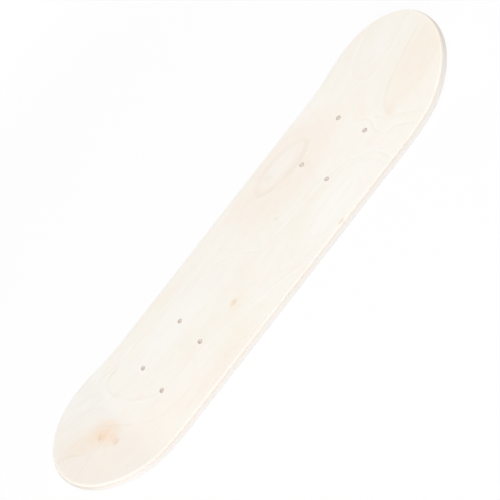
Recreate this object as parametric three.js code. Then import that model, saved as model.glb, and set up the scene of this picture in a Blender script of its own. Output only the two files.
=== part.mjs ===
// A bare double-kick skateboard deck: seven maple veneers and the six glue lines between them,
// pressed to one curve, cut to one outline, rounded along the rails and drilled for two trucks.
// Millimetres. +X points to the nose, +Y to the left rail and +Z up from the ground.
// The origin lies on the ground under the middle of the deck, which rests on its flat underside.
import * as THREE from "three";

// Outline, measured along the top face from the middle of the deck
const halfLength = 301;
const halfWidth = 74;
const noseLength = 93;

// Layup, from the face veneers inwards
const facePly = 1.3;
const innerPly = 1.44;
const glueLine = 0.12;
const railRound = 3.25;

// Truck bolts: the pattern of one truck, and the span between the two trucks' inner bolts
const boltPitch = 63.5;
const boltGauge = 41.3;
const innerBoltSpan = 211;
const boltHoleRadius = 2.7;

// Kicks: the nose and the tail bend up on this radius just outside the outer bolt holes
const kickMargin = 1;
const kickRadius = 200;
const kickAngle = THREE.MathUtils.degToRad(15.5);

// How finely the curves are divided
const kickSteps = 6;
const tipSteps = 16;
const leastStationGap = 3;
const boltHoleSides = 16;
const roundStep = THREE.MathUtils.degToRad(18);

// Sizes that follow from the driving ones
const straightRail = halfLength - noseLength;
const outerBolt = innerBoltSpan / 2 + boltPitch;
const kickStart = outerBolt + boltHoleRadius + kickMargin;
const kickArc = kickRadius * kickAngle;

const maple = { color: 0xf3e6d2, roughness: 0.55, metalness: 0 };
const coreMaple = { color: 0xe6d3b6, roughness: 0.7, metalness: 0 };
const crossMaple = { color: 0xd8c09c, roughness: 0.75, metalness: 0 };
const curedGlue = { color: 0xb89468, roughness: 0.5, metalness: 0 };

// The layers from the top face down. The two cross bands have their grain across the deck.
const layup = [
  { name: "top_face_ply", thickness: facePly, finish: maple },
  { name: "glue_line_1", thickness: glueLine, finish: curedGlue },
  { name: "top_core_ply", thickness: innerPly, finish: coreMaple },
  { name: "glue_line_2", thickness: glueLine, finish: curedGlue },
  { name: "top_cross_band", thickness: innerPly, finish: crossMaple },
  { name: "glue_line_3", thickness: glueLine, finish: curedGlue },
  { name: "centre_core_ply", thickness: innerPly, finish: coreMaple },
  { name: "glue_line_4", thickness: glueLine, finish: curedGlue },
  { name: "bottom_cross_band", thickness: innerPly, finish: crossMaple },
  { name: "glue_line_5", thickness: glueLine, finish: curedGlue },
  { name: "bottom_core_ply", thickness: innerPly, finish: coreMaple },
  { name: "glue_line_6", thickness: glueLine, finish: curedGlue },
  { name: "bottom_face_ply", thickness: facePly, finish: maple },
];
const deckThickness = layup.reduce((sum, layer) => sum + layer.thickness, 0);

// A point of the pressed deck, from its place along and across the flat blank and its depth
// below the top face. Beyond the flat middle the blank follows an arc and then runs straight.
function pressedPoint(along, across, depth) {
  const reach = Math.max(Math.abs(along) - kickStart, 0);
  const turn = Math.min(reach, kickArc) / kickRadius;
  const straight = Math.max(reach - kickArc, 0);
  const flat = Math.min(Math.abs(along), kickStart);
  const out = flat + (kickRadius + depth) * Math.sin(turn) + straight * Math.cos(turn);
  const rise = kickRadius * (1 - Math.cos(turn)) + straight * Math.sin(turn);
  return new THREE.Vector3(Math.sign(along) * out, across, rise - depth * Math.cos(turn));
}

// The slope of the rail's edge at a depth: a quarter turn at the top face, none on the upright
// flank between the two roundings, and a quarter turn the other way at the bottom face.
function railTilt(depth) {
  const fromFace = Math.min(depth, deckThickness - depth);
  const tilt = Math.asin(THREE.MathUtils.clamp(1 - fromFace / railRound, 0, 1));
  return depth === fromFace ? tilt : -tilt;
}

// How far the rail's edge lies inside the outline where it has a given tilt
function railInset(tilt) {
  return railRound * (1 - Math.cos(tilt));
}

// The depth at which one of the two roundings has a given tilt
function tiltDepth(tilt) {
  const fromFace = railRound * (1 - Math.sin(Math.abs(tilt)));
  return tilt > 0 ? fromFace : deckThickness - fromFace;
}

// The rail at a station: straight along the middle and half an ellipse round each end, moved
// inwards by the inset, square to the outline.
function railPoint(station, side, inset) {
  const share = Math.max(Math.abs(station) - straightRail, 0) / noseLength;
  const fall = Math.sqrt(Math.max(1 - share * share, 0));
  const outward = new THREE.Vector2(share / noseLength, fall / halfWidth).normalize();
  const along = Math.abs(station) - inset * outward.x;
  const across = halfWidth * fall - inset * outward.y;
  return new THREE.Vector2(Math.sign(station) * along, side * across);
}

// Stations from the tail's tip to the nose's tip: the bend lines of the kicks, and between and
// beyond them points spread evenly round the ends of the outline.
function railStations() {
  const bends = Array.from({ length: kickSteps + 1 }, (_, i) => kickStart + (kickArc * i) / kickSteps);
  const ends = Array.from({ length: tipSteps + 1 }, (_, i) => {
    return straightRail + noseLength * Math.sin((Math.PI / 2) * (i / tipSteps));
  });
  const spaced = ends.filter((end) => bends.every((bend) => Math.abs(end - bend) > leastStationGap));
  const nose = [...bends, ...spaced].sort((a, b) => a - b);
  const tail = nose.map((station) => -station).reverse();
  return [...tail, ...nose];
}

const stations = railStations();
const lastStation = stations.length - 1;
const railCount = 2 * lastStation;

// The rail's loop starts at the tail's tip, follows the right rail to the nose and comes back
// along the left rail, so that it runs anticlockwise seen from above.
const rightRail = (k) => k;
const leftRail = (k) => (railCount - k) % railCount;

function railLoop(inset) {
  return Array.from({ length: railCount }, (_, i) => {
    const k = i > lastStation ? railCount - i : i;
    return railPoint(stations[k], i > lastStation ? 1 : -1, inset);
  });
}

// The eight bolt holes as clockwise loops on the blank, four round the middle of each truck
function boltLoops() {
  const sides = [-1, 1];
  const centres = sides.flatMap((end) => {
    return [innerBoltSpan / 2, outerBolt].flatMap((along) => {
      return sides.map((side) => new THREE.Vector2(end * along, (side * boltGauge) / 2));
    });
  });
  return centres.map((centre) => {
    const circle = new THREE.Path().absarc(centre.x, centre.y, boltHoleRadius, 0, -2 * Math.PI, true);
    return circle.getPoints(boltHoleSides).slice(0, boltHoleSides);
  });
}

const bolts = boltLoops();
const boltPoints = bolts.flat();

// The triangles of a whole face of the blank, shared by every layer: the drilled flat panel
// between the kicks, and a ladder of strips from each kick's first bend line to its tip.
// Corners are numbered along the rail's loop first and then along the bolt holes.
function faceTriangles() {
  const inPanel = (k) => Math.abs(stations[k]) <= kickStart;
  const panel = stations.map((_, k) => k).filter(inPanel);
  const corners = [...panel.map(rightRail), ...panel.map(leftRail).reverse()];
  const loop = railLoop(0);
  const contour = corners.map((corner) => loop[corner]);
  const numbers = [...corners, ...boltPoints.map((_, i) => railCount + i)];
  const triangles = THREE.ShapeUtils.triangulateShape(contour, bolts).map((face) => face.map((i) => numbers[i]));
  for (let k = 0; k < lastStation; k += 1) {
    if (inPanel(k) && inPanel(k + 1)) continue;
    const [near, far] = [rightRail(k), rightRail(k + 1)];
    const [farLeft, nearLeft] = [leftRail(k + 1), leftRail(k)];
    if (far !== farLeft) triangles.push([near, far, farLeft]);
    if (near !== nearLeft) triangles.push([near, farLeft, nearLeft]);
  }
  return triangles;
}

const face = faceTriangles();

// The depths at which a layer's edge has a ring of points, close together on the roundings
function edgeDepths(top, bottom) {
  const [topTilt, bottomTilt] = [railTilt(top), railTilt(bottom)];
  const steps = Math.max(Math.ceil((topTilt - bottomTilt) / roundStep), 1);
  const between = Array.from({ length: steps - 1 }, (_, i) => {
    return tiltDepth(THREE.MathUtils.lerp(topTilt, bottomTilt, (i + 1) / steps));
  });
  return [top, ...between, bottom];
}

// One layer of the deck as a closed solid: its two faces, its edge and the walls of its holes
function layerGeometry(top, bottom) {
  const points = [];
  const corners = [];
  const addPoints = (plan, depth) => {
    const first = points.length;
    points.push(...plan.map((point) => pressedPoint(point.x, point.y, depth)));
    return first;
  };
  const addWall = (upper, lower, count) => {
    for (let i = 0; i < count; i += 1) {
      const next = (i + 1) % count;
      corners.push(upper + i, lower + i, lower + next);
      corners.push(upper + i, lower + next, upper + next);
    }
  };
  const addFace = (rail, holes, order) => {
    const number = (corner) => (corner < railCount ? rail + corner : holes + corner - railCount);
    face.forEach((triangle) => corners.push(...order.map((i) => number(triangle[i]))));
  };

  const rings = edgeDepths(top, bottom).map((depth) => addPoints(railLoop(railInset(railTilt(depth))), depth));
  const [upperHoles, lowerHoles] = [top, bottom].map((depth) => addPoints(boltPoints, depth));
  rings.slice(1).forEach((ring, i) => addWall(rings[i], ring, railCount));
  bolts.forEach((_, i) => {
    addWall(upperHoles + i * boltHoleSides, lowerHoles + i * boltHoleSides, boltHoleSides);
  });
  addFace(rings[0], upperHoles, [0, 1, 2]);
  addFace(rings.at(-1), lowerHoles, [0, 2, 1]);

  const geometry = new THREE.BufferGeometry().setFromPoints(points);
  geometry.setIndex(corners);
  return geometry;
}

// The laminate hangs from its top face and is lifted so that its flat underside is on the ground
const laminate = new THREE.Group();
laminate.position.z = deckThickness;
let depth = 0;
for (const { name, thickness, finish } of layup) {
  const material = new THREE.MeshStandardMaterial({ ...finish, flatShading: true });
  const layer = new THREE.Mesh(layerGeometry(depth, depth + thickness), material);
  layer.name = name;
  laminate.add(layer);
  depth += thickness;
}

const deck = new THREE.Group();
deck.add(laminate);

export default deck;
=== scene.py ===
"""Looks of a bare maple skateboard deck: seven veneers, six glue films and a plain studio."""

import logging
import math
from dataclasses import dataclass
from enum import Enum, IntEnum

import bmesh
import bpy
import numpy as np
from mathutils import Matrix, Vector


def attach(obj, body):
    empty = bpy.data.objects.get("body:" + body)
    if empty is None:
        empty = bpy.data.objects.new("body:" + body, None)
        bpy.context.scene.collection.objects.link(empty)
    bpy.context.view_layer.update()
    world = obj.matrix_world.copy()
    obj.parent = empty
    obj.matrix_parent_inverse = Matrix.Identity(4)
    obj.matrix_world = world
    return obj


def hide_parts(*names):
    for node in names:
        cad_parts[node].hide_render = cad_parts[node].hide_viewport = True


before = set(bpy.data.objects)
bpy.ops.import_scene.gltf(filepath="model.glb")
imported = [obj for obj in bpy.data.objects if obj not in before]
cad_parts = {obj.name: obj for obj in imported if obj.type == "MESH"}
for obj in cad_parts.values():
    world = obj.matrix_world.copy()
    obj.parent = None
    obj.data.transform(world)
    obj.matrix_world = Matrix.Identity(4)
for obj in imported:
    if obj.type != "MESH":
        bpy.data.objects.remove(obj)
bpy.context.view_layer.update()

# The attribute in which each point keeps its place on the flat blank, in metres
BLANK = "blank"
# Millimetres in a metre
MM = 1000.0
# Points closer than this, in metres, are one
TOUCH = 1e-6
# Faces that meet at more than this are shaded with a sharp edge
SHARP = math.radians(35)
log = logging.getLogger("deck")


class Run(Enum):
    """The way a veneer's fibres run on the deck."""

    ALONG = "along the deck"
    ACROSS = "across the deck"

    def lump(self, long: float, fine: float) -> tuple[float, float, float]:
        """The sizes of a lump of noise that is long with the fibres and fine square to them."""
        return (long, fine, fine) if self is Run.ALONG else (fine, long, fine)


@dataclass(frozen=True)
class Blank:
    """Sizes in metres of the pressed blank, which every layer of the deck follows.

    The rail margin is the strip along the rail whose width takes up the rounding. The bolt block
    is half the side of the square that the plan's grid leaves free round a bolt hole.
    """

    thickness: float
    half_length: float = 0.301
    half_width: float = 0.074
    nose_length: float = 0.093
    rail_round: float = 0.00325
    rail_margin: float = 0.0045
    kick_start: float = 0.1727
    kick_radius: float = 0.2
    kick_angle: float = math.radians(15.5)
    bolt_radius: float = 0.0027
    bolt_easing: float = 0.0002
    bolt_block: float = 0.006
    bolt_stations: tuple[float, float] = (0.1055, 0.169)
    bolt_offset: float = 0.02065

    @property
    def straight_rail(self) -> float:
        """Where the straight rail ends and the rounded end begins."""
        return self.half_length - self.nose_length

    def press(self, flat: np.ndarray) -> np.ndarray:
        """Bends points of the flat blank to the deck's shape.

        The blank stays flat up to the kick's start, follows an arc of the kick's radius through
        the kick's angle, and then runs straight. Each point keeps its height over the top face,
        square to the bent face.

        Args:
            flat: an array of (along, across, height over the top face).

        Returns:
            The points on the deck, in the frame of the part.
        """
        along, across, height = flat.T
        reach = np.maximum(np.abs(along) - self.kick_start, 0)
        arc = self.kick_radius * self.kick_angle
        turn = np.minimum(reach, arc) / self.kick_radius
        straight = np.maximum(reach - arc, 0)
        level = np.minimum(np.abs(along), self.kick_start)
        out = level + (self.kick_radius - height) * np.sin(turn) + straight * np.cos(turn)
        rise = self.kick_radius * (1 - np.cos(turn)) + straight * np.sin(turn)
        return np.stack([np.sign(along) * out, across, self.thickness + rise + height * np.cos(turn)], 1)

    def tilt(self, depth: float) -> float:
        """Works out the slope of the rail's edge.

        Args:
            depth: how far below the top face.

        Returns:
            A quarter turn at the top face, none on the upright flank between the two roundings,
            and minus a quarter turn at the bottom face.
        """
        from_face = min(depth, self.thickness - depth)
        slope = math.asin(min(max(1 - from_face / self.rail_round, 0), 1))
        return slope if depth == from_face else -slope

    def tilt_depth(self, tilt: float) -> float:
        """The depth at which one of the two roundings has a given slope."""
        from_face = self.rail_round * (1 - math.sin(abs(tilt)))
        return from_face if tilt > 0 else self.thickness - from_face

    def inset(self, depth: float) -> float:
        """How far the rail's edge lies inside the outline at a depth."""
        return self.rail_round * (1 - math.cos(self.tilt(depth)))

    def easing(self, depth: float) -> float:
        """How much wider a bolt hole is at a depth: eased where it opens on a face of the deck."""
        return self.bolt_easing if min(depth, self.thickness - depth) < TOUCH else 0.0


class PlanGrid:
    """The blank seen in plan, as rows and columns of points that every layer shares."""

    # The most that two grid lines lie apart, and how many parts an end's rim, a side of a bolt's
    # block and the collar between block and hole have
    STEP = 0.0052
    END_STEPS = 88
    BLOCK_STEPS = 8
    COLLAR_RINGS = 4

    def __init__(self, blank: Blank) -> None:
        """Works out the grid's rows and columns.

        Args:
            blank: the sizes of the deck.
        """
        self.blank = blank
        across = self._stops([blank.bolt_offset], blank.half_width - blank.rail_margin)
        along = self._stops(list(blank.bolt_stations), blank.straight_rail)
        self.shares = across / across[-1]
        self.columns = np.concatenate([-along[:0:-1], along])

    def _stops(self, bolts: list[float], end: float) -> np.ndarray:
        """Spaces grid lines from the middle out to an end, close together past each bolt hole.

        Args:
            bolts: how far out the bolt holes lie.
            end: how far out the last line lies.

        Returns:
            How far out each line lies.
        """
        half = self.blank.bolt_block
        edges = [0.0, *[bolt + side for bolt in bolts for side in (-half, half)], end]
        runs = []
        for i, (low, high) in enumerate(zip(edges, edges[1:])):
            steps = self.BLOCK_STEPS if i % 2 else math.ceil((high - low) / self.STEP)
            runs.append(np.linspace(low, high, steps, endpoint=False))
        return np.append(np.concatenate(runs), end)

    def rows(self, inset: float) -> np.ndarray:
        """Gives the rows across the middle of the blank, the outer two on the rail's edge.

        Args:
            inset: how far the edge lies inside the outline.

        Returns:
            Each row's place across the blank.
        """
        inner = self.shares * (self.blank.half_width - self.blank.rail_margin)
        half = np.append(inner, self.blank.half_width - inset)
        return np.concatenate([-half[:0:-1], half])

    def end_rim(self, end: int, inset: float) -> np.ndarray:
        """Draws half an ellipse round one end of the blank, moved inwards square to itself.

        Args:
            end: 1 for the nose and -1 for the tail.
            inset: how far it is moved.

        Returns:
            The rim's points in plan, from the right rail to the left one.
        """
        blank = self.blank
        angle = np.linspace(-math.pi / 2, math.pi / 2, self.END_STEPS + 1)
        outward = np.stack([np.cos(angle) / blank.nose_length, np.sin(angle) / blank.half_width], 1)
        outward /= np.linalg.norm(outward, axis=1, keepdims=True)
        along = blank.straight_rail + blank.nose_length * np.cos(angle) - inset * outward[:, 0]
        across = blank.half_width * np.sin(angle) - inset * outward[:, 1]
        return np.stack([end * along, across], 1)

    def rim(self, inset: float) -> np.ndarray:
        """Draws the whole rail as a closed loop: the right rail, the nose, the left rail, the tail.

        Args:
            inset: how far the loop lies inside the outline.

        Returns:
            The loop's points in plan.
        """
        edge = np.full_like(self.columns, self.blank.half_width - inset)
        right = np.stack([self.columns, -edge], 1)
        left = np.stack([self.columns[::-1], edge], 1)
        nose = self.end_rim(1, inset)[1:-1]
        tail = self.end_rim(-1, inset)[-2:0:-1]
        return np.concatenate([right, nose, left, tail])

    def bolts(self) -> list[np.ndarray]:
        """Lists the bolt holes.

        Returns:
            The middles of the eight holes in plan.
        """
        offset = self.blank.bolt_offset
        stations = [end * station for end in (-1, 1) for station in self.blank.bolt_stations]
        return [np.array([station, side * offset]) for station in stations for side in (-1, 1)]

    def bore_loop(self, radius: float) -> np.ndarray:
        """Draws a circle round a bolt's middle, from its lower left anticlockwise.

        Args:
            radius: the circle's radius.

        Returns:
            Its points from the bolt's middle, one for each point of the block's loop.
        """
        count = 4 * self.BLOCK_STEPS
        angle = np.arange(count) * (2 * math.pi / count) - 3 * math.pi / 4
        return radius * np.stack([np.cos(angle), np.sin(angle)], 1)

    def block_loop(self) -> np.ndarray:
        """Draws the square block round a bolt, from its lower left corner anticlockwise.

        Returns:
            The block's points from the bolt's middle.
        """
        half = self.blank.bolt_block
        run = np.linspace(-half, half, self.BLOCK_STEPS, endpoint=False)
        side = np.stack([run, np.full_like(run, -half)], 1)
        quarter = np.array([[0.0, 1.0], [-1.0, 0.0]])
        return np.concatenate([side @ np.linalg.matrix_power(quarter, i) for i in range(4)])


def lift(plan: np.ndarray, depth: float) -> np.ndarray:
    """Gives points of the plan their height, which is the depth as a minus value."""
    return np.concatenate([plan, np.full((*plan.shape[:-1], 1), -depth)], -1)


class Skin:
    """The patches of a closed surface on the flat blank, gathered before they become a mesh."""

    def __init__(self) -> None:
        """Starts with no patch."""
        self.points: list[np.ndarray] = []
        self.quads: list[np.ndarray] = []
        self.count = 0

    def add(self, points: np.ndarray, closed: bool = False, keep: np.ndarray | None = None) -> None:
        """Adds a grid of points as quads.

        Args:
            points: an array of rows, columns and three coordinates.
            closed: joins the last column to the first.
            keep: says which quads are kept, for a grid that isn't closed.
        """
        rows, columns = points.shape[:2]
        number = np.arange(rows * columns).reshape(rows, columns) + self.count
        here = number if closed else number[:, :-1]
        ahead = np.roll(number, -1, 1) if closed else number[:, 1:]
        quads = np.stack([here[:-1], ahead[:-1], ahead[1:], here[1:]], -1)
        self.points.append(points.reshape(-1, 3))
        self.quads.append(quads.reshape(-1, 4) if keep is None else quads[keep])
        self.count += rows * columns

    def make(self, name: str, blank: Blank) -> bpy.types.Object:
        """Presses the patches to the deck's shape, joins them and turns their faces outwards.

        Args:
            name: the piece's name.
            blank: the sizes of the deck.

        Returns:
            The piece, whose points keep their place on the flat blank as an attribute.
        """
        used, quads = np.unique(np.concatenate(self.quads), return_inverse=True)
        flat = np.concatenate(self.points)[used]
        mesh = bpy.data.meshes.new(name)
        mesh.from_pydata(blank.press(flat), [], quads.reshape(-1, 4))
        attribute = mesh.attributes.new(BLANK, "FLOAT_VECTOR", "POINT")
        attribute.data.foreach_set("vector", flat.astype(np.float32).ravel())
        shape = bmesh.new()
        shape.from_mesh(mesh)
        bmesh.ops.remove_doubles(shape, verts=shape.verts, dist=TOUCH)
        bmesh.ops.recalc_face_normals(shape, faces=shape.faces)
        shape.to_mesh(mesh)
        shape.free()
        mesh.shade_smooth()
        mesh.set_sharp_from_angle(angle=SHARP)
        piece = bpy.data.objects.new(name, mesh)
        bpy.context.scene.collection.objects.link(piece)
        return piece


@dataclass(eq=False)
class Output:
    """What a node of a recipe gives, or a plain colour that takes its place."""

    recipe: "Recipe"
    socket: "bpy.types.NodeSocket | tuple[float, ...]"


class Signal(Output):
    """A number that varies over a surface, with the operators that shader maths is written in."""

    # The middle of every noise
    MIDDLE = 0.5

    def maths(self, operation: str, *operands: "Signal | float") -> "Signal":
        """A Math node of that operation on the operands, in their order."""
        return self.recipe.signal("ShaderNodeMath", {"operation": operation}, dict(enumerate(operands)))

    def __add__(self, other: "Signal | float") -> "Signal":
        """This and the other."""
        return self.maths("ADD", self, other)

    def __sub__(self, other: "Signal | float") -> "Signal":
        """This less the other."""
        return self.maths("SUBTRACT", self, other)

    def __rsub__(self, other: float) -> "Signal":
        """The other less this."""
        return self.maths("SUBTRACT", other, self)

    def __mul__(self, other: "Signal | float") -> "Signal":
        """This times the other."""
        return self.maths("MULTIPLY", self, other)

    def __truediv__(self, other: "Signal | float") -> "Signal":
        """This over the other."""
        return self.maths("DIVIDE", self, other)

    def __pow__(self, other: "Signal | float") -> "Signal":
        """This to the power of the other."""
        return self.maths("POWER", self, other)

    def __abs__(self) -> "Signal":
        """This without its sign."""
        return self.maths("ABSOLUTE", self)

    __radd__ = __add__
    __rmul__ = __mul__

    def most(self, other: "Signal | float") -> "Signal":
        """The greater of this and the other."""
        return self.maths("MAXIMUM", self, other)

    def swing(self, reach: float) -> "Signal":
        """This noise as a swing about nought, by up to half the reach each way."""
        return (self - self.MIDDLE) * reach

    def fraction(self) -> "Signal":
        """What is left of this over the whole number below it."""
        return self.maths("FRACT", self)

    def ramp(self, low: float, high: float, start: float, end: float) -> "Signal":
        """Goes smoothly from the start value at the low mark to the end value at the high one."""
        inputs = {0: self, 1: low, 2: high, 3: start, 4: end}
        return self.recipe.signal("ShaderNodeMapRange", {"interpolation_type": "SMOOTHSTEP"}, inputs)

    def rise(self, low: float, high: float) -> "Signal":
        """Goes smoothly from 0 to 1 between two marks."""
        return self.ramp(low, high, 0.0, 1.0)

    def fall(self, low: float, high: float) -> "Signal":
        """Goes smoothly from 1 to 0 between two marks."""
        return self.ramp(low, high, 1.0, 0.0)

    def band(self, low: float, high: float, edge: float) -> "Signal":
        """Is 1 between two marks and fades out past each of them."""
        return self.rise(low - edge, low) * self.fall(high, high + edge)


class Place(Output):
    """A place or direction that varies over a surface, for which noise can be read."""

    # How much each finer octave of noise counts
    ROUGHNESS = 0.55

    def maths(self, operation: str, *operands: "Place | tuple[float, float, float]") -> "Place":
        """Adds a Vector Math node.

        Args:
            operation: the node's operation.
            operands: what follows this place in its sockets.

        Returns:
            The node's vector.
        """
        inputs = dict(enumerate((self, *operands)))
        node = self.recipe.node("ShaderNodeVectorMath", {"operation": operation}, inputs)
        return Place(self.recipe, node.outputs[0])

    def split(self) -> tuple[Signal, Signal, Signal]:
        """The three coordinates."""
        node = self.recipe.node("ShaderNodeSeparateXYZ", {}, {0: self})
        return tuple(Signal(self.recipe, socket) for socket in node.outputs)

    def _noise(self, lump: tuple[float, float, float], detail: float, seed: float) -> bpy.types.Node:
        """Adds a Noise node.

        Args:
            lump: the sizes of its lumps in millimetres.
            detail: how many finer octaves it has.
            seed: how far the noise is moved along, in lumps.

        Returns:
            The node.
        """
        scale = tuple(1 / size for size in lump)
        lumps = self.maths("MULTIPLY_ADD", scale, (seed, seed, seed))
        inputs = {"Vector": lumps, "Scale": 1.0, "Detail": detail, "Roughness": self.ROUGHNESS}
        return self.recipe.node("ShaderNodeTexNoise", {}, inputs)

    def noise(self, lump: tuple[float, float, float], detail: float = 2.0, seed: float = 0.0) -> Signal:
        """Noise about 0.5, whose lumps have the given sizes in millimetres."""
        return Signal(self.recipe, self._noise(lump, detail, seed).outputs[0])

    def wander(self, lump: tuple[float, float, float], reach: tuple[float, float, float]) -> "Place":
        """Moves this place about by slow noise, by up to about a quarter of the reach.

        Args:
            lump: the sizes of the noise's lumps in millimetres.
            reach: the span of the movement along each axis.

        Returns:
            The moved place.
        """
        drift = Place(self.recipe, self._noise(lump, detail=2.0, seed=0.0).outputs["Color"])
        half = tuple(-share / 2 for share in reach)
        return self.maths("ADD", drift.maths("MULTIPLY_ADD", reach, half))


class Paint(Output):
    """A colour that varies over a surface, built up coat by coat."""

    def towards(self, colour: str, amount: "Signal | float") -> "Paint":
        """Lays a coat on the paint.

        Args:
            colour: the coat's screen colour.
            amount: how much of it is laid on, from 0 to 1.

        Returns:
            The paint with its coat.
        """
        # Such a node takes its two colours in sockets 6 and 7, and gives the mix in output 2
        inputs = {0: amount, 6: self, 7: linear(colour)}
        node = self.recipe.node("ShaderNodeMix", {"data_type": "RGBA"}, inputs)
        return Paint(self.recipe, node.outputs[2])


def linear(colour: str) -> tuple[float, float, float, float]:
    """Turns a screen colour into a shader's, by the curve of the sRGB standard.

    Args:
        colour: six hexadecimal digits.

    Returns:
        The linear colour, with full alpha.
    """
    levels = [int(colour[i : i + 2], 16) / 255 for i in (0, 2, 4)]
    bent = [level / 12.92 if level <= 0.04045 else ((level + 0.055) / 1.055) ** 2.4 for level in levels]
    return (*bent, 1.0)


class Recipe:
    """The nodes of a material while they are put together."""

    # A thin dull gloss that sanded maple has, the same on every layer
    GLOSS = {"Coat Weight": 0.2, "Coat Roughness": 0.35}

    def __init__(self, tree: bpy.types.NodeTree) -> None:
        """Empties a tree of nodes and takes it over.

        Args:
            tree: the nodes of a material or of the world.
        """
        self.tree = tree
        self.tree.nodes.clear()

    def node(self, kind: str, settings: dict, inputs: dict) -> bpy.types.Node:
        """Adds one node.

        Args:
            kind: the node's type.
            settings: its own settings, which are set first; "stops" are the points of a curve.
            inputs: the values or links of its sockets, by name or number.

        Returns:
            The node.
        """
        made = self.tree.nodes.new(kind)
        for name, value in settings.items():
            if name == "stops":
                self._shape_curve(made.mapping, value)
            else:
                setattr(made, name, value)
        for key, value in inputs.items():
            source = getattr(value, "socket", value)
            if isinstance(source, bpy.types.NodeSocket):
                self.tree.links.new(source, made.inputs[key])
            else:
                made.inputs[key].default_value = source
        return made

    def _shape_curve(self, mapping: bpy.types.CurveMapping, stops: np.ndarray) -> None:
        """Draws a curve through points.

        Args:
            mapping: the curve's mapping, with one point at each end.
            stops: the points, whose coordinates go from 0 to 1.
        """
        curve = mapping.curves[0]
        for place in stops[1:-1].tolist():
            curve.points.new(*place)
        curve.points[0].location = stops[0].tolist()
        curve.points[len(stops) - 1].location = stops[-1].tolist()
        mapping.update()

    def signal(self, kind: str, settings: dict, inputs: dict) -> Signal:
        """Adds one node and gives its first output as a number."""
        return Signal(self, self.node(kind, settings, inputs).outputs[0])

    def place(self) -> Place:
        """Where a point lay on the flat blank before it was pressed, in millimetres."""
        node = self.node("ShaderNodeAttribute", {"attribute_name": BLANK}, {})
        return Place(self, node.outputs["Vector"]).maths("MULTIPLY", (MM, MM, MM))

    def facing(self) -> Place:
        """The way the surface faces."""
        return Place(self, self.node("ShaderNodeNewGeometry", {}, {}).outputs["Normal"])

    def paint(self, colour: str) -> Paint:
        """A paint of one screen colour to start from."""
        return Paint(self, linear(colour))

    def finish(self, paint: Paint, roughness: Signal, relief: Signal, depth: float) -> None:
        """Ends the recipe with the wood's shader.

        Args:
            paint: the colour.
            roughness: how dull the surface is.
            relief: the height of the fibres, from 0 to 1.
            depth: the full height of the fibres in metres.
        """
        bump = self.node("ShaderNodeBump", {}, {"Strength": 1.0, "Distance": depth, "Height": relief})
        inputs = {"Base Color": paint, "Roughness": roughness, "Normal": bump.outputs[0]}
        shader = self.node("ShaderNodeBsdfPrincipled", {}, inputs | self.GLOSS)
        self.node("ShaderNodeOutputMaterial", {}, {"Surface": shader.outputs[0]})


def start_finish(name: str) -> tuple[bpy.types.Material, Recipe]:
    """Makes a material.

    Args:
        name: the finish's name.

    Returns:
        The material, and the recipe that fills it.
    """
    material = bpy.data.materials.new(name)
    material.use_nodes = True
    return material, Recipe(material.node_tree)


@dataclass(frozen=True)
class Tone:
    """A colour that comes in as a signal goes from one mark to another, up or down."""

    colour: str
    start: float
    full: float
    share: float = 1.0

    def lay(self, paint: Paint, signal: Signal, within: Signal | float = 1.0) -> Paint:
        """Lays the colour on a paint.

        Args:
            paint: what is there so far.
            signal: what the colour follows, such as noise or the way that the surface faces.
            within: where the colour may lie, from 0 to 1.

        Returns:
            The paint, with none of the colour up to the start and its share from full on.
        """
        rises = self.start < self.full
        amount = signal.rise(self.start, self.full) if rises else signal.fall(self.full, self.start)
        return paint.towards(self.colour, amount * (within * self.share))


@dataclass(frozen=True)
class Oval:
    """An oval place on a veneer, in millimetres along and across the blank."""

    along: float
    across: float
    long: float
    wide: float
    turn: float = 0.0

    def local(self, x: Signal, y: Signal) -> tuple[Signal, Signal]:
        """Finds a point's place on the oval.

        Args:
            x: how far along the blank the point lies.
            y: how far across it.

        Returns:
            How far out the point lies along and across the oval, as shares of its half axes.
        """
        cosine, sine = math.cos(math.radians(self.turn)), math.sin(math.radians(self.turn))
        off, over = x - self.along, y - self.across
        u = off * (cosine / self.long) + over * (sine / self.long)
        v = over * (cosine / self.wide) - off * (sine / self.wide)
        return abs(u), abs(v)


@dataclass(frozen=True)
class Patch(Oval):
    """A soft patch of another colour."""

    colour: str = "F9F0E7"
    strength: float = 1.0
    softness: float = 1.0

    def cover(self, x: Signal, y: Signal) -> Signal:
        """The patch's amount: full in the middle, and none from the oval's edge outwards.

        The softer the patch is, the more of its strength lies near its middle.
        """
        u, v = self.local(x, y)
        return (u * u + v * v).fall(0.0, 1.0) ** self.softness * self.strength


@dataclass(frozen=True)
class Loop(Oval):
    """A closed growth line, pale outside and dark within."""

    power: float = 2.0
    pale: float = 1.0
    dark: float = 1.0
    breadth: float = 1.0

    def distance(self, x: Signal, y: Signal) -> Signal:
        """Works out how far a point lies outside the loop.

        The loop is where size = (u^n + v^n)^(1/n) is 1. The distance is size - 1 over the
        steepness of size.

        Args:
            x: how far along the blank the point lies.
            y: how far across it.

        Returns:
            The distance in millimetres, below zero inside the loop.
        """
        u, v = self.local(x, y)
        size = (u**self.power + v**self.power) ** (1 / self.power)
        less = self.power - 1
        steep = ((u**less * (1 / self.long)) ** 2 + (v**less * (1 / self.wide)) ** 2) ** 0.5
        return (size - 1) * size**less / steep

    def extent(self, x: Signal, y: Signal) -> Signal | float:
        """A closed line is drawn all the way round."""
        return 1.0


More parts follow.
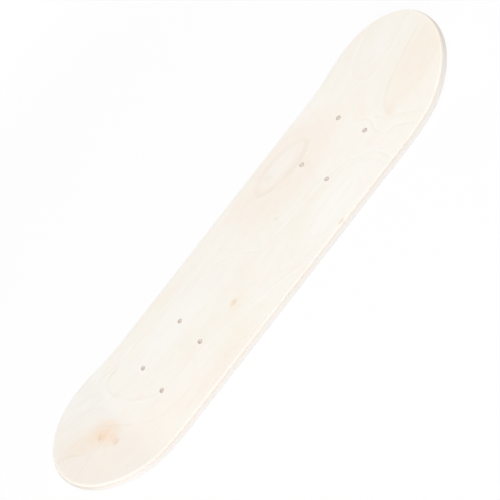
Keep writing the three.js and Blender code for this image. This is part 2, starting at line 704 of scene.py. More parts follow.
@dataclass(frozen=True)
class Trace:
    """A growth line through given points, in millimetres, pale on one side and dark on the other.

    The points go up along the blank, or up across it where the trace is upright. The dark side
    lies below the line, or above it where the trace is flipped.
    """

    points: tuple[tuple[float, float], ...]
    pale: float = 1.0
    dark: float = 1.0
    breadth: float = 1.0
    upright: bool = False
    flipped: bool = False

    # How far apart the slope is taken, and over what length the line's ends fade
    STEP = 0.75
    FADE = 9.0

    def _height(self, run: Signal) -> Signal:
        """Follows the line.

        Args:
            run: the first coordinate of the line.

        Returns:
            The line's second coordinate there.
        """
        stops = np.array(self.points)
        low, span = stops.min(0), np.ptp(stops, 0)
        share = (run - float(low[0])) * float(1 / span[0])
        curve = run.recipe.signal("ShaderNodeFloatCurve", {"stops": (stops - low) / span}, {1: share})
        return curve * float(span[1]) + float(low[1])

    def distance(self, x: Signal, y: Signal) -> Signal:
        """Works out how far a point lies from the line.

        It is the height over the line, over the length of (1, slope), with the slope from the
        line's heights a step behind and a step ahead.

        Args:
            x: how far along the blank the point lies.
            y: how far across it.

        Returns:
            The distance in millimetres, above zero on the pale side.
        """
        run, height = (y, x) if self.upright else (x, y)
        behind, ahead = self._height(run - self.STEP), self._height(run + self.STEP)
        slope = (ahead - behind) * (0.5 / self.STEP)
        off = (height - (ahead + behind) * 0.5) / (slope * slope + 1) ** 0.5
        return off * (-1.0 if self.flipped else 1.0)

    def extent(self, x: Signal, y: Signal) -> Signal:
        """Says where the line is drawn.

        Args:
            x: how far along the blank the point lies.
            y: how far across it.

        Returns:
            1 between the line's end points, fading out towards them.
        """
        run = y if self.upright else x
        first, last = self.points[0][0], self.points[-1][0]
        return run.band(first + self.FADE, last - self.FADE, self.FADE)


BORE = MM * Blank.bolt_radius
BORE_MOUTH = BORE + MM * Blank.bolt_easing


def bolt_distance(x: Signal, y: Signal) -> Signal:
    """Works out how far a point lies from the middle of the nearest bolt hole.

    Args:
        x: how far along the blank the point lies, in millimetres.
        y: how far across it.

    Returns:
        The distance in millimetres.
    """
    inner, outer = (MM * station for station in Blank.bolt_stations)
    off = abs(abs(x) - (inner + outer) / 2) - (outer - inner) / 2
    over = abs(y) - MM * Blank.bolt_offset
    return (off * off + over * over) ** 0.5


class Draw(IntEnum):
    """What is added to a veneer's seed, so that each of its noises is drawn by itself."""

    FIBRE = 0
    STREAK = 3
    EDGE_PORE = 5
    CLOUD = 7
    PORE = 11
    RINGS = 17
    FADING = 23
    MOTTLE = 29
    TINT = 31


@dataclass(frozen=True)
class FaceVeneer:
    """A face of rotary-cut maple: growth lines, patches of colour, fibres and pores.

    Clouds and tints of colour come first, then the patches, the growth lines, and the fibres and
    pores over all of them. Where the face turns down to the rail, the sanded grain has painted
    shade on the near rail, at the nose and tail and on the seam's tail side, and a painted rim
    light on the far rail. The walls of the bolt holes are painted light.
    """

    name: str
    lines: tuple[Loop | Trace, ...]
    patches: tuple[Patch, ...]
    rings: float
    seed: float
    ground: str = "F9F5EC"
    bloom: Tone = Tone("F8F0E4", 0.5, 0.72, 0.5)
    cool: Tone = Tone("FAF7F1", 0.48, 0.3, 0.8)
    rose: Tone = Tone("FAF1EA", 0.5, 0.68, 0.55)
    olive: Tone = Tone("F6F3E6", 0.46, 0.32, 0.25)
    tip: Tone = Tone("F6EEE3", 235.0, 300.0, 0.35)
    line_pale: str = "FDFCF8"
    line_dark: str = "DCCBAE"
    fibre: str = "EADBC2"
    pore: Tone = Tone("D9C3A0", 0.66, 0.8, 0.3)
    collar: Tone = Tone("EADBC2", BORE_MOUTH + 0.6, BORE_MOUTH, 0.12)
    # Painted light: the walls of the bolt holes are made near white, paler than the face
    bore_painted_light: Tone = Tone("FEF8F3", BORE_MOUTH + 0.02, BORE + 0.02)
    # Painted shade on the near rail's rounding and a painted rim light on the far rail's, over the sanded
    # grain's own slightly darker tone
    near_rail_grain_and_painted_shading: Tone = Tone("EBE2D8", 0.4, 0.0, 0.9)
    far_rail_grain_and_painted_light: Tone = Tone("F5F1EA", 0.0, 0.4, 0.9)
    # Painted shade on the rounded rims at the tail and at the nose, over the end grain that shows there
    tail_rim_end_grain_and_painted_shade: Tone = Tone("CFCBC6", -0.3, -0.9, 0.8)
    nose_rim_end_grain_and_painted_shade: Tone = Tone("D8CCBE", 0.1, 0.72, 0.85)
    seam: Tone = Tone("DDD2C7", -0.85, -1.3, 0.27)
    # Painted shade on the seam where the rail faces the tail
    tail_seam_painted_shade: Tone = Tone("BAB2AA", 0.0, -0.4, 0.315)

    # The sizes in millimetres of the lumps of noise, and how far the slow ones bend the figure
    FIBRE_LUMP = (46.0, 0.45)
    STREAK_LUMP = (130.0, 4.0)
    PORE_LUMP = (4.5, 0.3)
    CLOUD_LUMP = (90.0, 38.0, 60.0)
    TINT_LUMP = (30.0, 17.0, 60.0)
    MOTTLE_LUMP = (13.0, 8.0, 30.0)
    RING_LUMP = (190.0, 52.0, 60.0)
    FADING_LUMP = (34.0, 34.0, 60.0)
    ROUGHENING = ((9.0, 5.0, 30.0), (7.0, 5.0, 0.0))
    SLOW_BEND = ((64.0, 30.0, 60.0), (7.0, 5.0, 0.0))
    FINE_BEND = ((14.0, 9.0, 30.0), (2.2, 1.6, 0.0))

    # Noise between the first two numbers weakens or strengthens by the last two
    MOTTLING = (0.32, 0.68, 0.7, 1.25)
    FADING = (0.35, 0.65, 0.45, 1.2)

    # How much of the growth lines and fibres is seen
    PALE_SHARE = 0.25
    DARK_SHARE = 0.13
    FIBRE_SWING = 0.5
    STREAK_SWING = 0.35

    # A ring's place in its phase: pale at first, darkening slowly, and ending at once
    RING_COUNT = 15.0
    RING_SHARE = 0.6
    RING_PALE = (0.02, 0.16)
    RING_DARKENS = (0.45, 0.93)
    RING_ENDS = (0.95, 1.0)

    # A drawn line's width in millimetres on its pale side, and where its dark side begins and ends
    LINE_CREST = 1.0
    LINE_PALE = (0.2, 1.7)
    LINE_DARKENS = (-5.0, -0.7)
    LINE_ENDS = (-0.6, 0.5)

    # How far the surface is turned down where it counts as the rail, and the depth of the holes'
    # mouths in millimetres
    RAIL_TURNS = (0.66, 0.985)
    MOUTH_DEPTH = (-0.3, -0.1)

    ROUGHNESS = 0.52
    ROUGHNESS_SWING = 0.2
    FIBRE_RELIEF = 0.7
    RELIEF = 0.00003

    def make(self) -> bpy.types.Material:
        """Puts the finish together.

        Returns:
            The material.
        """
        material, recipe = start_finish(self.name)
        place = recipe.place()
        fibre = place.noise(Run.ALONG.lump(*self.FIBRE_LUMP), detail=3.0, seed=self.seed + Draw.FIBRE)
        pore = place.noise(Run.ALONG.lump(*self.PORE_LUMP), detail=1.0, seed=self.seed + Draw.PORE)
        paint = self._add_patches(recipe.paint(self.ground), place)
        paint = self._add_grain(paint, place, fibre, pore)
        paint = self._add_edges(paint, place, recipe.facing())
        solid = pore.fall(self.pore.start, self.pore.full)
        relief = fibre * self.FIBRE_RELIEF + solid * (1 - self.FIBRE_RELIEF)
        recipe.finish(paint, self.ROUGHNESS + fibre.swing(self.ROUGHNESS_SWING), relief, self.RELIEF)
        return material

    def _add_patches(self, paint: Paint, place: Place) -> Paint:
        """Adds the clouds and tints, the patches with rough outlines, and the tone of the two tips.

        Args:
            paint: the ground.
            place: where a point lies on the blank.

        Returns:
            The patched paint.
        """
        cloud = place.noise(self.CLOUD_LUMP, detail=2.0, seed=self.seed + Draw.CLOUD)
        tint = place.noise(self.TINT_LUMP, detail=2.0, seed=self.seed + Draw.TINT)
        paint = self.cool.lay(self.bloom.lay(paint, cloud), cloud)
        paint = self.olive.lay(self.rose.lay(paint, tint), tint)
        rough_x, rough_y, _ = place.wander(*self.ROUGHENING).split()
        mottle = place.noise(self.MOTTLE_LUMP, detail=3.0, seed=self.seed + Draw.MOTTLE).ramp(*self.MOTTLING)
        for patch in self.patches:
            paint = paint.towards(patch.colour, patch.cover(rough_x, rough_y) * mottle)
        x, _, _ = place.split()
        return self.tip.lay(paint, abs(x))

    def _add_grain(self, paint: Paint, place: Place, fibre: Signal, pore: Signal) -> Paint:
        """Adds the growth lines, the fibres and the pores.

        Args:
            paint: what is there so far.
            place: where a point lies on the blank.
            fibre: the noise of the fibres.
            pore: the noise of the pores.

        Returns:
            The grained paint.
        """
        pale, dark = self._growth(place)
        streak = place.noise(Run.ALONG.lump(*self.STREAK_LUMP), detail=2.0, seed=self.seed + Draw.STREAK)
        paint = paint.towards(self.line_pale, pale * self.PALE_SHARE)
        paint = paint.towards(self.line_dark, dark * self.DARK_SHARE)
        paint = paint.towards(self.fibre, fibre.swing(self.FIBRE_SWING) + streak.swing(self.STREAK_SWING))
        return self.pore.lay(paint, pore)

    def _add_edges(self, paint: Paint, place: Place, facing: Place) -> Paint:
        """Adds a darker collar round each bolt hole with painted light on its walls, the rounded rail's
        grain with painted shade and light, and the glue's seam below it, with painted shade where it faces
        the tail.

        Args:
            paint: what is there so far.
            place: where a point lies on the blank.
            facing: the way that the surface faces.

        Returns:
            The finished paint.
        """
        x, y, height = place.split()
        endward, leftward, upward = facing.split()
        nearest = bolt_distance(x, y)
        paint = self.collar.lay(paint, nearest)
        # painted light on the walls of the bolt holes
        paint = self.bore_painted_light.lay(paint, nearest, height.fall(*self.MOUTH_DEPTH))
        rail = abs(upward).fall(*self.RAIL_TURNS)
        # painted shade on the near rail and a painted rim light on the far rail, over the sanded grain
        paint = self.far_rail_grain_and_painted_light.lay(self.near_rail_grain_and_painted_shading.lay(paint, leftward, rail), leftward, rail)
        # painted shade at the tail and nose rims, over their end grain
        paint = self.nose_rim_end_grain_and_painted_shade.lay(self.tail_rim_end_grain_and_painted_shade.lay(paint, endward), endward)
        paint = self.seam.lay(paint, height, rail)
        # painted shade on the seam where it faces the tail
        return self.tail_seam_painted_shade.lay(paint, endward, rail * height.fall(self.seam.full, self.seam.start))

    def _growth(self, place: Place) -> tuple[Signal, Signal]:
        """Draws the growth lines.

        A drawn line is palest just outside it and darkest just inside, fading inwards. Between
        the drawn lines faint rings follow slow noise.

        Args:
            place: where a point lies on the blank.

        Returns:
            How pale and how dark the lines make the wood, from 0 to 1.
        """
        bent = place.wander(*self.SLOW_BEND).wander(*self.FINE_BEND)
        x, y, _ = bent.split()
        slow = bent.noise(self.RING_LUMP, detail=1.0, seed=self.seed + Draw.RINGS)
        phase = (slow * self.RING_COUNT).fraction()
        share = self.RING_SHARE * self.rings
        pale = phase.fall(*self.RING_PALE) * share
        dark = phase.rise(*self.RING_DARKENS) * phase.fall(*self.RING_ENDS) * share
        strong = place.noise(self.FADING_LUMP, detail=1.0, seed=self.seed + Draw.FADING).ramp(*self.FADING)
        for line in self.lines:
            away = line.distance(x, y) * (1 / line.breadth)
            extent = line.extent(x, y) * strong
            crest = abs(away - self.LINE_CREST).fall(*self.LINE_PALE)
            pale = pale.most(crest * extent * line.pale)
            inside = away.rise(*self.LINE_DARKENS) * away.fall(*self.LINE_ENDS)
            dark = dark.most(inside * extent * line.dark)
        return pale, dark


@dataclass(frozen=True)
class InnerVeneer:
    """An inner veneer, seen on the rails and in the bolt holes: long grain and end grain, with painted light
    on the holes' walls.
    """

    name: str
    run: Run
    seed: float
    side_grain: str
    end_grain: str
    streak: str
    pore: str
    # Painted light: a near white on the walls of the bolt holes
    bore_wall_painted_light: str = "FEF8F3"

    # The sizes in millimetres of the lumps of noise, long with the fibres and fine across them
    FIBRE_LUMP = (24.0, 0.3)
    BAND_LUMP = (60.0, 4.0)
    PORE_LUMP = (3.0, 0.16)

    # How far the fibres face outwards where end grain begins and where it is full
    END_TURNS = (0.25, 0.9)
    BAND_SHARE = 0.3
    BAND_MARKS = (0.42, 0.72)
    FIBRE_SWING = 0.35
    PORE_SHARE = 0.16
    PORE_MARKS = (0.62, 0.78)
    BORE_LIGHT_MARKS = (BORE_MOUTH - 0.1, BORE_MOUTH)
    ROUGHNESS = 0.6
    ROUGHNESS_SWING = 0.25
    RELIEF = 0.00004

    def make(self) -> bpy.types.Material:
        """Puts the finish together.

        Returns:
            The material.
        """
        material, recipe = start_finish(self.name)
        place = recipe.place()
        fibre = place.noise(self.run.lump(*self.FIBRE_LUMP), detail=3.0, seed=self.seed + Draw.FIBRE)
        band = place.noise(self.run.lump(*self.BAND_LUMP), detail=2.0, seed=self.seed + Draw.STREAK)
        pore = place.noise(self.run.lump(*self.PORE_LUMP), detail=1.0, seed=self.seed + Draw.EDGE_PORE)
        facing = recipe.facing().split()[0 if self.run is Run.ALONG else 1]
        x, y, _ = place.split()
        paint = recipe.paint(self.side_grain)
        paint = paint.towards(self.end_grain, abs(facing).rise(*self.END_TURNS))
        banding = band.rise(*self.BAND_MARKS) * self.BAND_SHARE
        paint = paint.towards(self.streak, banding + fibre.swing(self.FIBRE_SWING))
        paint = paint.towards(self.pore, pore.rise(*self.PORE_MARKS) * self.PORE_SHARE)
        # painted light on the walls of the bolt holes
        paint = paint.towards(self.bore_wall_painted_light, bolt_distance(x, y).fall(*self.BORE_LIGHT_MARKS))
        recipe.finish(paint, self.ROUGHNESS + fibre.swing(self.ROUGHNESS_SWING), fibre, self.RELIEF)
        return material


@dataclass(frozen=True)
class GlueFilm:
    """Cured glue between two veneers: a thin amber line, darker where it soaked in."""

    name: str = "cured glue film"
    amber: str = "E6D8C0"
    soaked: Tone = Tone("CDB592", 0.45, 0.75)
    starved: Tone = Tone("EFE6D6", 0.5, 0.75, 0.7)

    # The sizes in millimetres of the soaked stretches and of the beads along the line
    SOAK_LUMP = (7.0, 7.0, 2.0)
    BEAD_LUMP = (1.2, 1.2, 1.0)
    BEAD_SEED = 4.0
    ROUGHNESS = 0.4
    ROUGHNESS_SWING = 0.3
    RELIEF = 0.00002

    def make(self) -> bpy.types.Material:
        """Puts the finish together.

        Returns:
            The material.
        """
        material, recipe = start_finish(self.name)
        place = recipe.place()
        soak = place.noise(self.SOAK_LUMP, detail=3.0)
        bead = place.noise(self.BEAD_LUMP, detail=2.0, seed=self.BEAD_SEED)
        paint = self.starved.lay(self.soaked.lay(recipe.paint(self.amber), soak), bead)
        recipe.finish(paint, self.ROUGHNESS + bead.swing(self.ROUGHNESS_SWING), bead, self.RELIEF)
        return material


@dataclass
class Layer:
    """One veneer or glue film of the deck, between two depths below the top face."""

    name: str
    node: str
    slot: str
    top: float
    bottom: float

    # The most that the rail's rounding turns from one ring of points to the next
    ROUND_STEP = math.radians(10)

    def build(self, grid: PlanGrid) -> bpy.types.Object:
        """Makes the layer's closed surface: two faces, the edge and the walls of the bolt holes.

        Args:
            grid: the plan that all layers share.

        Returns:
            The finished piece, which rides on the deck and stands for its CAD node.
        """
        skin = Skin()
        self._add_face(skin, grid, self.top)
        self._add_face(skin, grid, self.bottom)
        self._add_edge(skin, grid)
        self._add_bores(skin, grid)
        piece = skin.make(self.name, grid.blank)
        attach(piece, "root")
        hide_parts(self.node)
        return piece

    def _add_face(self, skin: Skin, grid: PlanGrid, depth: float) -> None:
        """Adds one face: a drilled panel between the rounded ends, and a fan over each end.

        A fan's rings are shares of the way from the end's middle to its rim. A collar's rings
        are shares of the way from a bolt's square block to the mouth of its hole.

        Args:
            skin: the surface that the face joins.
            grid: the plan that all layers share.
            depth: how far below the top of the deck the face lies.
        """
        blank = grid.blank
        inset = blank.inset(depth)
        panel = np.stack(np.meshgrid(grid.columns, grid.rows(inset)), -1)
        middle = (panel[:-1, :-1] + panel[1:, 1:]) / 2
        off = np.stack([np.abs(middle - bolt).max(-1) for bolt in grid.bolts()])
        skin.add(lift(panel, depth), keep=off.min(0) > blank.bolt_block)
        for end in (-1, 1):
            pole = np.array([end * blank.straight_rail, 0.0])
            spokes = grid.end_rim(end, blank.rail_margin) - pole
            rings = pole + grid.shares[:, None, None] * spokes
            skin.add(lift(np.concatenate([rings, grid.end_rim(end, inset)[None]]), depth))
        mouth = grid.bore_loop(blank.bolt_radius + blank.easing(depth))
        share = np.linspace(0, 1, grid.COLLAR_RINGS + 1)[:, None, None]
        collar = (1 - share) * grid.block_loop() + share * mouth
        for bolt in grid.bolts():
            skin.add(lift(bolt + collar, depth), closed=True)

    def _add_edge(self, skin: Skin, grid: PlanGrid) -> None:
        """Adds the layer's edge, with rings close together where the rail is rounded.

        Args:
            skin: the surface that the edge joins.
            grid: the plan that all layers share.
        """
        blank = grid.blank
        tilts = (blank.tilt(self.top), blank.tilt(self.bottom))
        steps = max(math.ceil((tilts[0] - tilts[1]) / self.ROUND_STEP), 1)
        between = [blank.tilt_depth(tilt) for tilt in np.linspace(*tilts, steps + 1)[1:-1]]
        rings = [lift(grid.rim(blank.inset(depth)), depth) for depth in (self.top, *between, self.bottom)]
        skin.add(np.stack(rings), closed=True)

    def _add_bores(self, skin: Skin, grid: PlanGrid) -> None:
        """Adds the walls of the bolt holes, which widen over the easing at the mouths.

        Args:
            skin: the surface that the walls join.
            grid: the plan that all layers share.
        """
        blank = grid.blank
        depths = [self.top, self.bottom]
        for depth, way in ((self.top, 1), (self.bottom, -1)):
            if blank.easing(depth):
                depths.append(depth + way * blank.bolt_easing)
        depths.sort()
        loops = [grid.bore_loop(blank.bolt_radius + blank.easing(depth)) for depth in depths]
        for bolt in grid.bolts():
            wall = [lift(bolt + loop, depth) for loop, depth in zip(loops, depths)]
            skin.add(np.stack(wall), closed=True)


# The drawn growth lines of the top face: the tongue down the middle and the lines at its end, the
# ovals, the lines of the nose, and the lines of the tail
TOP_FIGURE = (
    Trace(((-214, 42), (-202, 51.5), (-175, 53), (-147, 53), (-102, 49), (-67, 41.5), (-42, 34), (-22, 24),
           (-7, 9), (8, -6), (23, -12), (48, -15), (78, -17), (98, -18.5), (123, -23.5), (143, -36),
           (152, -46)), pale=2.0, dark=0.6, breadth=0.75),
    Trace(((-202, 4), (-182, -16), (-167, -23.5), (-127, -28.5), (-102, -31), (-77, -35), (-52, -43.5),
           (-22, -51), (-2, -57), (18, -65), (34, -73)), pale=2.0, dark=0.5, breadth=0.75, flipped=True),
    Trace(((-24, -176), (-16, -182), (4, -202), (19, -209.5), (34, -214.5), (44, -213), (54, -202)),
          pale=1.2, dark=0.8, breadth=1.4, upright=True, flipped=True),
    Trace(((-76, 157), (-63.5, 157), (-51, 155.5), (-36, 143), (-26, 128)), dark=0.5, upright=True),
    Trace(((-76, 149), (-63, 149), (-50, 146), (-36, 134), (-24, 110)), pale=0.5, dark=0.4, upright=True),
    Loop(85, -52, 40, 16, power=2.2, pale=0.6, dark=0.4),
    Loop(91.5, 43.5, 43, 18, turn=-5, pale=0.3, dark=1.25, breadth=2.0),
    Loop(300, 29, 85, 22, power=3, pale=1.0, dark=0.4, breadth=1.5),
    Trace(((188, -42), (196, -27), (203, -19), (212, -14.5), (225, -11.5), (245, -10), (270, -9.5),
           (304, -9)), pale=0.8, dark=1.6, breadth=1.2),
    Trace(((-74, 200), (-51, 190), (-36, 175), (-16, 183), (-1, 178), (20, 180)), upright=True, dark=0.8),
    Trace(((-74, 214), (-58, 208), (-44, 200), (-30, 190), (-14, 192)), upright=True, pale=0.5, dark=0.5),
    Trace(((-286, 38), (-268, 37.5), (-250, 36.5), (-238, 34), (-229, 26), (-222, 14)),
          pale=0.3, dark=0.9, breadth=0.6),
    Trace(((-299, -29), (-292, -26), (-285, -24), (-272, -19), (-262, -14), (-250, -13), (-240, -14)),
          pale=0.6, dark=1.1, breadth=0.8, flipped=True),
    Trace(((-304, 9), (-297, 7), (-287, 4), (-278, -2), (-272, -8), (-265, -11.5), (-258, -15)),
          pale=0.8, dark=1.0, breadth=0.8, flipped=True),
    Trace(((-245, 12), (-232, -1), (-212, -21), (-192, -36), (-172, -43), (-140, -49)), pale=0.7, dark=0.7),
    Trace(((-244, 70), (-227, 66), (-207, 59), (-180, 57)), pale=0.8, dark=0.8),
)

# The patches of the two faces, in the order in which they are laid: large grounds mostly come
# before the small spots and flecks on them
TOP_PATCHES = (
    Patch(-264, 4, 74, 110, colour="FFFEFA", strength=0.85),
    Patch(-238, 62, 48, 15, turn=14, colour="FFFEFC", strength=0.6),
    Patch(93, 36, 100, 50, colour="F9EEE4", strength=0.9),
    Patch(91, 46, 38, 15, colour="F8F4EC", strength=0.9),
    Patch(-255, -10, 70, 46, colour="FDF5EB", strength=0.9),
    Patch(-250, -36, 58, 15, colour="FEF4EB", strength=0.7),
    # Painted shade: a greyer strip along the tail's near rail, which tones down the highlight there
    Patch(-250, -60, 50, 12, turn=-22, colour="F8F2EA", strength=0.5, softness=0.8),
    Patch(-262, 26, 32, 15, colour="FCF9F0", strength=0.7),
    Patch(-276, 42, 22, 9, colour="FFF8F1", strength=0.6),
    Patch(-221, 20, 13, 38, turn=-8, colour="FDFBF5", strength=0.8),
    Patch(-265, 3, 38, 17, turn=-12, colour="FCE8D2", strength=0.42, softness=1.3),
    Patch(-241, -7, 24, 22, colour="FEE9D3", strength=0.65, softness=1.6),
    Patch(-243.5, -5, 11, 10, turn=30, colour="FFD7B0", strength=0.5, softness=1.6),
    Patch(-248, -6, 4, 2.6, turn=30, colour="CFAE88", strength=0.35),
    Patch(-236.5, -18, 6, 11, colour="FEE1C7", strength=0.45, softness=1.5),
    Patch(-236.7, -23, 6, 4.5, colour="F4DAC0", strength=0.4),
    Patch(-236.3, -25, 2.6, 1.5, colour="C2A586", strength=0.25),
    Patch(-199, 50.3, 12, 2.2, turn=8, colour="E6DBC8", strength=0.35),
    Patch(-105, -64, 66, 17, colour="F9EEE3", strength=0.7),
    Patch(-190, -48, 100, 24, colour="FBF3EA", strength=0.7),
    Patch(262, -32, 72, 27, colour="F9EEE1", strength=0.9),
    Patch(199, -30, 9, 16, turn=-15, colour="F6E6D4", strength=0.3, softness=1.5),
    Patch(184, 0, 14, 11, colour="FAECDF", strength=0.35),
    Patch(-50, -28, 18, 12, colour="FAEDDB", strength=0.4),
    Patch(25, 57, 26, 15, colour="F9ECDE", strength=0.3),
    Patch(-78, -50, 34, 13, colour="F8F2E2", strength=0.5),
    Patch(74, 50, 6, 6, colour="EFEBDC", strength=0.5),
    Patch(-120, 25, 90, 26, colour="FAF7F2", strength=0.8),
    Patch(88, -50, 66, 26, colour="FBF8F2", strength=0.9),
    Patch(-52, -23.8, 7, 3.8, colour="EED5B8", strength=0.5),
    Patch(-52, -24, 4, 2, colour="D9B68E", strength=0.12),
    Patch(42, 1, 4, 3, colour="EFE9DC", strength=0.9),
    Patch(76.5, -70, 6, 1.8, colour="EBD2C2", strength=0.6),
    Patch(109, 10, 9, 6, turn=70, colour="F6EADF", strength=0.35),
)

UNDER_PATCHES = (
    Patch(120, -30, 120, 60, colour="F9EFE4", strength=0.8),
    Patch(-60, 34, 12, 6, colour="EBD2B2", strength=0.8),
    Patch(-60, 34, 40, 16, colour="F7EADA", strength=0.6),
    Patch(214, 18, 8, 5, colour="E8CFAE", strength=0.8),
)

# The finish of each veneer by the name of its piece; the pieces without one are glue films
VENEER_FINISHES = {
    "top_face_veneer": FaceVeneer("top face maple", TOP_FIGURE, TOP_PATCHES, rings=0.35, seed=0.0),
    "top_core_veneer": InnerVeneer(
        "top core maple", Run.ALONG, seed=21.0,
        side_grain="EBE4DD", end_grain="D5CDC4", streak="E6DCD1", pore="DCCDB8",
    ),
    "top_cross_veneer": InnerVeneer(
        "top cross maple", Run.ACROSS, seed=37.0,
        side_grain="DED6CD", end_grain="F4EFEA", streak="F1E9E0", pore="E0D3C0",
    ),
    "centre_core_veneer": InnerVeneer(
        "centre core maple", Run.ALONG, seed=43.0,
        side_grain="F3EFEB", end_grain="E4DDD6", streak="F0E9E1", pore="E3D8C8",
    ),
    "bottom_cross_veneer": InnerVeneer(
        "bottom cross maple", Run.ACROSS, seed=59.0,
        side_grain="F0ECE7", end_grain="F2EFEC", streak="F1EBE4", pore="E3D8C8",
    ),
    "bottom_core_veneer": InnerVeneer(
        "bottom core maple", Run.ALONG, seed=71.0,
        side_grain="F5F2EF", end_grain="F0ECE7", streak="F1EAE2", pore="E3D8C8",
    ),
    "bottom_face_veneer": FaceVeneer(
        "bottom face maple", (), UNDER_PATCHES, rings=1.0, seed=50.0,
        # Below, the near rail's painted shading is lighter, and the painted shade at the ends and the seam's
        # tones are paler
        near_rail_grain_and_painted_shading=Tone("FCFAF7", 0.4, 0.0, 0.9),
        tail_rim_end_grain_and_painted_shade=Tone("F0EAE1", -0.3, -0.9, 0.8),
        nose_rim_end_grain_and_painted_shade=Tone("F0EAE1", 0.1, 0.72, 0.85),
        seam=Tone("F0EAE1", -0.85, -1.3, 0.27),
        tail_seam_painted_shade=Tone("F0EAE1", 0.0, -0.4, 0.315),
    ),
}


@dataclass
class Laminate:
    """The deck itself: seven maple veneers with six glue films between them, in metres."""

    face_ply: float = 0.0013
    inner_ply: float = 0.00144
    glue_line: float = 0.00012

    # From the top face down: each veneer's piece, its CAD node and its slot
    VENEERS = (
        ("top_face_veneer", "top_face_ply", "maple_face"),
        ("top_core_veneer", "top_core_ply", "maple_core"),
        ("top_cross_veneer", "top_cross_band", "maple_cross_band"),
        ("centre_core_veneer", "centre_core_ply", "maple_core"),
        ("bottom_cross_veneer", "bottom_cross_band", "maple_cross_band"),
        ("bottom_core_veneer", "bottom_core_ply", "maple_core"),
        ("bottom_face_veneer", "bottom_face_ply", "maple_face"),
    )

    def layers(self) -> list[Layer]:
        """Stacks the layers from the top face down, with a glue film below each veneer but the last.

        Returns:
            The layers, each with its depths.
        """
        names = [self.VENEERS[0]]
        for number, veneer in enumerate(self.VENEERS[1:], 1):
            names += [(f"glue_film_{number}", f"glue_line_{number}", "cured_glue"), veneer]
        thickness = {"maple_face": self.face_ply, "cured_glue": self.glue_line}
        levels = [0.0]
        for *_, slot in names:
            levels.append(levels[-1] + thickness.get(slot, self.inner_ply))
        return [Layer(*name, *depths) for name, depths in zip(names, zip(levels, levels[1:]))]

    def build(self) -> dict[str, bpy.types.Object]:
        """Builds every layer.

        Returns:
            The pieces by name.
        """
        layers = self.layers()
        grid = PlanGrid(Blank(thickness=layers[-1].bottom))
        pieces = {layer.name: layer.build(grid) for layer in layers}
        for piece in pieces.values():
            log.info("%s: %d faces", piece.name, len(piece.data.polygons))
        return pieces

    def dress(self, pieces: dict[str, bpy.types.Object]) -> None:
        """Gives every layer its finish.

        Args:
            pieces: the layers' pieces by name.
        """
        glue = GlueFilm().make()
        for name, piece in pieces.items():
            finish = VENEER_FINISHES.get(name)
            piece.data.materials.append(finish.make() if finish else glue)


@dataclass(frozen=True)
class Viewpoint:
    """Where the photograph was taken from, in metres, degrees and millimetres of lens.

    The slant goes from straight above the aim towards the right rail, the swing from there to
    the nose, and the lean turns the deck's length in the picture.
    """

    aim: tuple[float, float, float] = (-0.00028, 0.00323, 0.01052)
    distance: float = 0.74073
    slant: float = 44.163
    swing: float = -0.519
    lean: float = 52.03
    lens: float = 50.912

    def place_camera(self) -> None:
        """Places the camera: back from the aim, and turned about its own line of sight."""
        slant, swing, lean = (math.radians(angle) for angle in (self.slant, self.swing, self.lean))
        back, over = math.sin(slant) * math.cos(swing), math.cos(slant) * math.cos(swing)
        away = Vector((math.sin(swing), -back, over))
        away.normalize()
        noseward = (Vector((1, 0, 0)) - away * away.x).normalized()
        railward = noseward.cross(away)
        right = noseward * math.cos(lean) + railward * math.sin(lean)
        up = noseward * math.sin(lean) - railward * math.cos(lean)
        camera = bpy.data.objects.new("camera", bpy.data.cameras.new("camera"))
        camera.data.lens = self.lens
        turned = Matrix((right, up, away)).transposed().to_4x4()
        camera.matrix_world = Matrix.Translation(Vector(self.aim) + away * self.distance) @ turned
        bpy.context.scene.collection.objects.link(camera)
        bpy.context.scene.camera = camera


@dataclass(frozen=True)
class Lamp:
    """A round soft lamp that faces the middle of the deck, in metres and watts."""

    name: str
    spot: tuple[float, float, float]
    size: float
    power: float

    def hang(self) -> None:
        """Adds the lamp to the scene."""
        light = bpy.data.lights.new(self.name, "AREA")
        light.shape = "DISK"
        light.size = self.size
        light.energy = self.power
        lamp = bpy.data.objects.new(self.name, light)
        lamp.location = self.spot
        lamp.rotation_euler = (-Vector(self.spot)).to_track_quat("-Z", "Y").to_euler()
        bpy.context.scene.collection.objects.link(lamp)


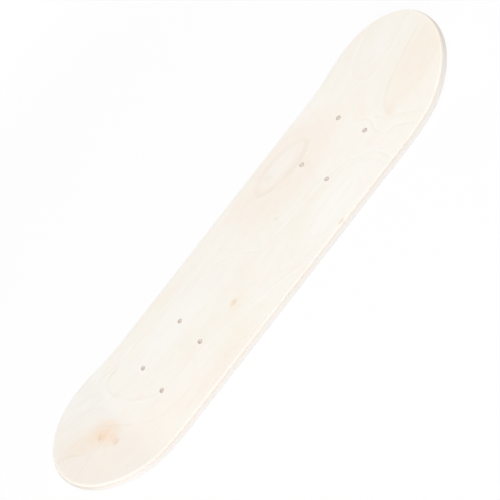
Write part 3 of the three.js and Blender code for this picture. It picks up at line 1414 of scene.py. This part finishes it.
@dataclass(frozen=True)
class Studio:
    """A white floor, a white surround and four soft lamps.

    The floor mixes a glow with plain pale paint. The glow's share is its fill in the light that
    reaches the deck. For the camera it is full far out and gives way to a shadow near the deck.
    """

    floor_half: float = 8.0
    floor_drop: float = 0.0002
    floor_colour: str = "D9D9D9"
    floor_shadow: float = 0.18
    floor_glow: float = 1.06
    floor_fill: float = 0.8
    surround: float = 0.405
    lamps: tuple[Lamp, ...] = (
        Lamp("top lamp", (0.0, -1.06, 2.62), 2.0, 29.4),
        Lamp("front lamp", (-0.8, -1.8, 2.04), 1.6, 14.2),
        Lamp("tail lamp", (-1.81, -1.81, 1.2), 1.6, 16.1),
        Lamp("nose lamp", (1.81, 1.81, 1.2), 1.6, 16.4),
    )

    # Between these squares of the distance from the deck's middle, in square metres, the shadow fades
    SHADOW_REACH = (0.2, 1.5)

    def build(self) -> None:
        """Builds the floor, the surround and the lamps."""
        self._add_floor()
        self._add_surround()
        for lamp in self.lamps:
            lamp.hang()

    def _seen(self, recipe: Recipe) -> Signal:
        """Tells what the camera sees from what only lights the scene.

        Args:
            recipe: the recipe that needs to know.

        Returns:
            1 for what the camera sees, by itself or mirrored or through glass, and else 0.
        """
        path = recipe.node("ShaderNodeLightPath", {}, {})
        rays = ("Is Camera Ray", "Is Glossy Ray", "Is Transmission Ray")
        camera, glossy, clear = (Signal(recipe, path.outputs[ray]) for ray in rays)
        return camera.most(glossy).most(clear)

    def _add_floor(self) -> None:
        """Adds a floor that looks white and still takes a soft shadow."""
        half, drop = self.floor_half, -self.floor_drop
        corners = [(-half, -half, drop), (half, -half, drop), (half, half, drop), (-half, half, drop)]
        mesh = bpy.data.meshes.new("studio_floor")
        mesh.from_pydata(corners, [], [(0, 1, 2, 3)])
        floor = bpy.data.objects.new("studio_floor", mesh)
        bpy.context.scene.collection.objects.link(floor)
        material = bpy.data.materials.new("studio floor")
        material.use_nodes = True
        recipe = Recipe(material.node_tree)
        cover = recipe.node("ShaderNodeBsdfDiffuse", {}, {"Color": linear(self.floor_colour)})
        glow = recipe.node("ShaderNodeEmission", {}, {"Strength": self.floor_glow})
        spot = Place(recipe, recipe.node("ShaderNodeTexCoord", {}, {}).outputs["Object"])
        x, y, _ = spot.split()
        clear = (x * x + y * y).ramp(*self.SHADOW_REACH, 1 - self.floor_shadow, 1.0)
        share = (self._seen(recipe) * clear).most(self.floor_fill)
        mix = recipe.node("ShaderNodeMixShader", {}, {0: share, 1: cover.outputs[0], 2: glow.outputs[0]})
        recipe.node("ShaderNodeOutputMaterial", {}, {"Surface": mix.outputs[0]})
        mesh.materials.append(material)

    def _add_surround(self) -> None:
        """Adds a white surround that lights the deck evenly from all sides."""
        world = bpy.data.worlds.new("studio")
        world.use_nodes = True
        recipe = Recipe(world.node_tree)
        strength = self._seen(recipe) * (1 - self.surround) + self.surround
        back = recipe.node("ShaderNodeBackground", {}, {"Color": linear("FFFFFF"), "Strength": strength})
        recipe.node("ShaderNodeOutputWorld", {}, {"Surface": back.outputs[0]})
        bpy.context.scene.world = world


def main() -> None:
    """Builds the view, the studio and the deck, and notes which CAD nodes are left bare."""
    logging.basicConfig(level=logging.INFO, format="%(name)s: %(message)s")
    bpy.context.scene.view_settings.view_transform = "Standard"
    Viewpoint().place_camera()
    Studio().build()
    laminate = Laminate()
    pieces = laminate.build()
    laminate.dress(pieces)
    left = set(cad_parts) - {layer.node for layer in laminate.layers()}
    log.info("CAD nodes left bare: %s", sorted(left) or "none")


if __name__ == "__main__":
    main()
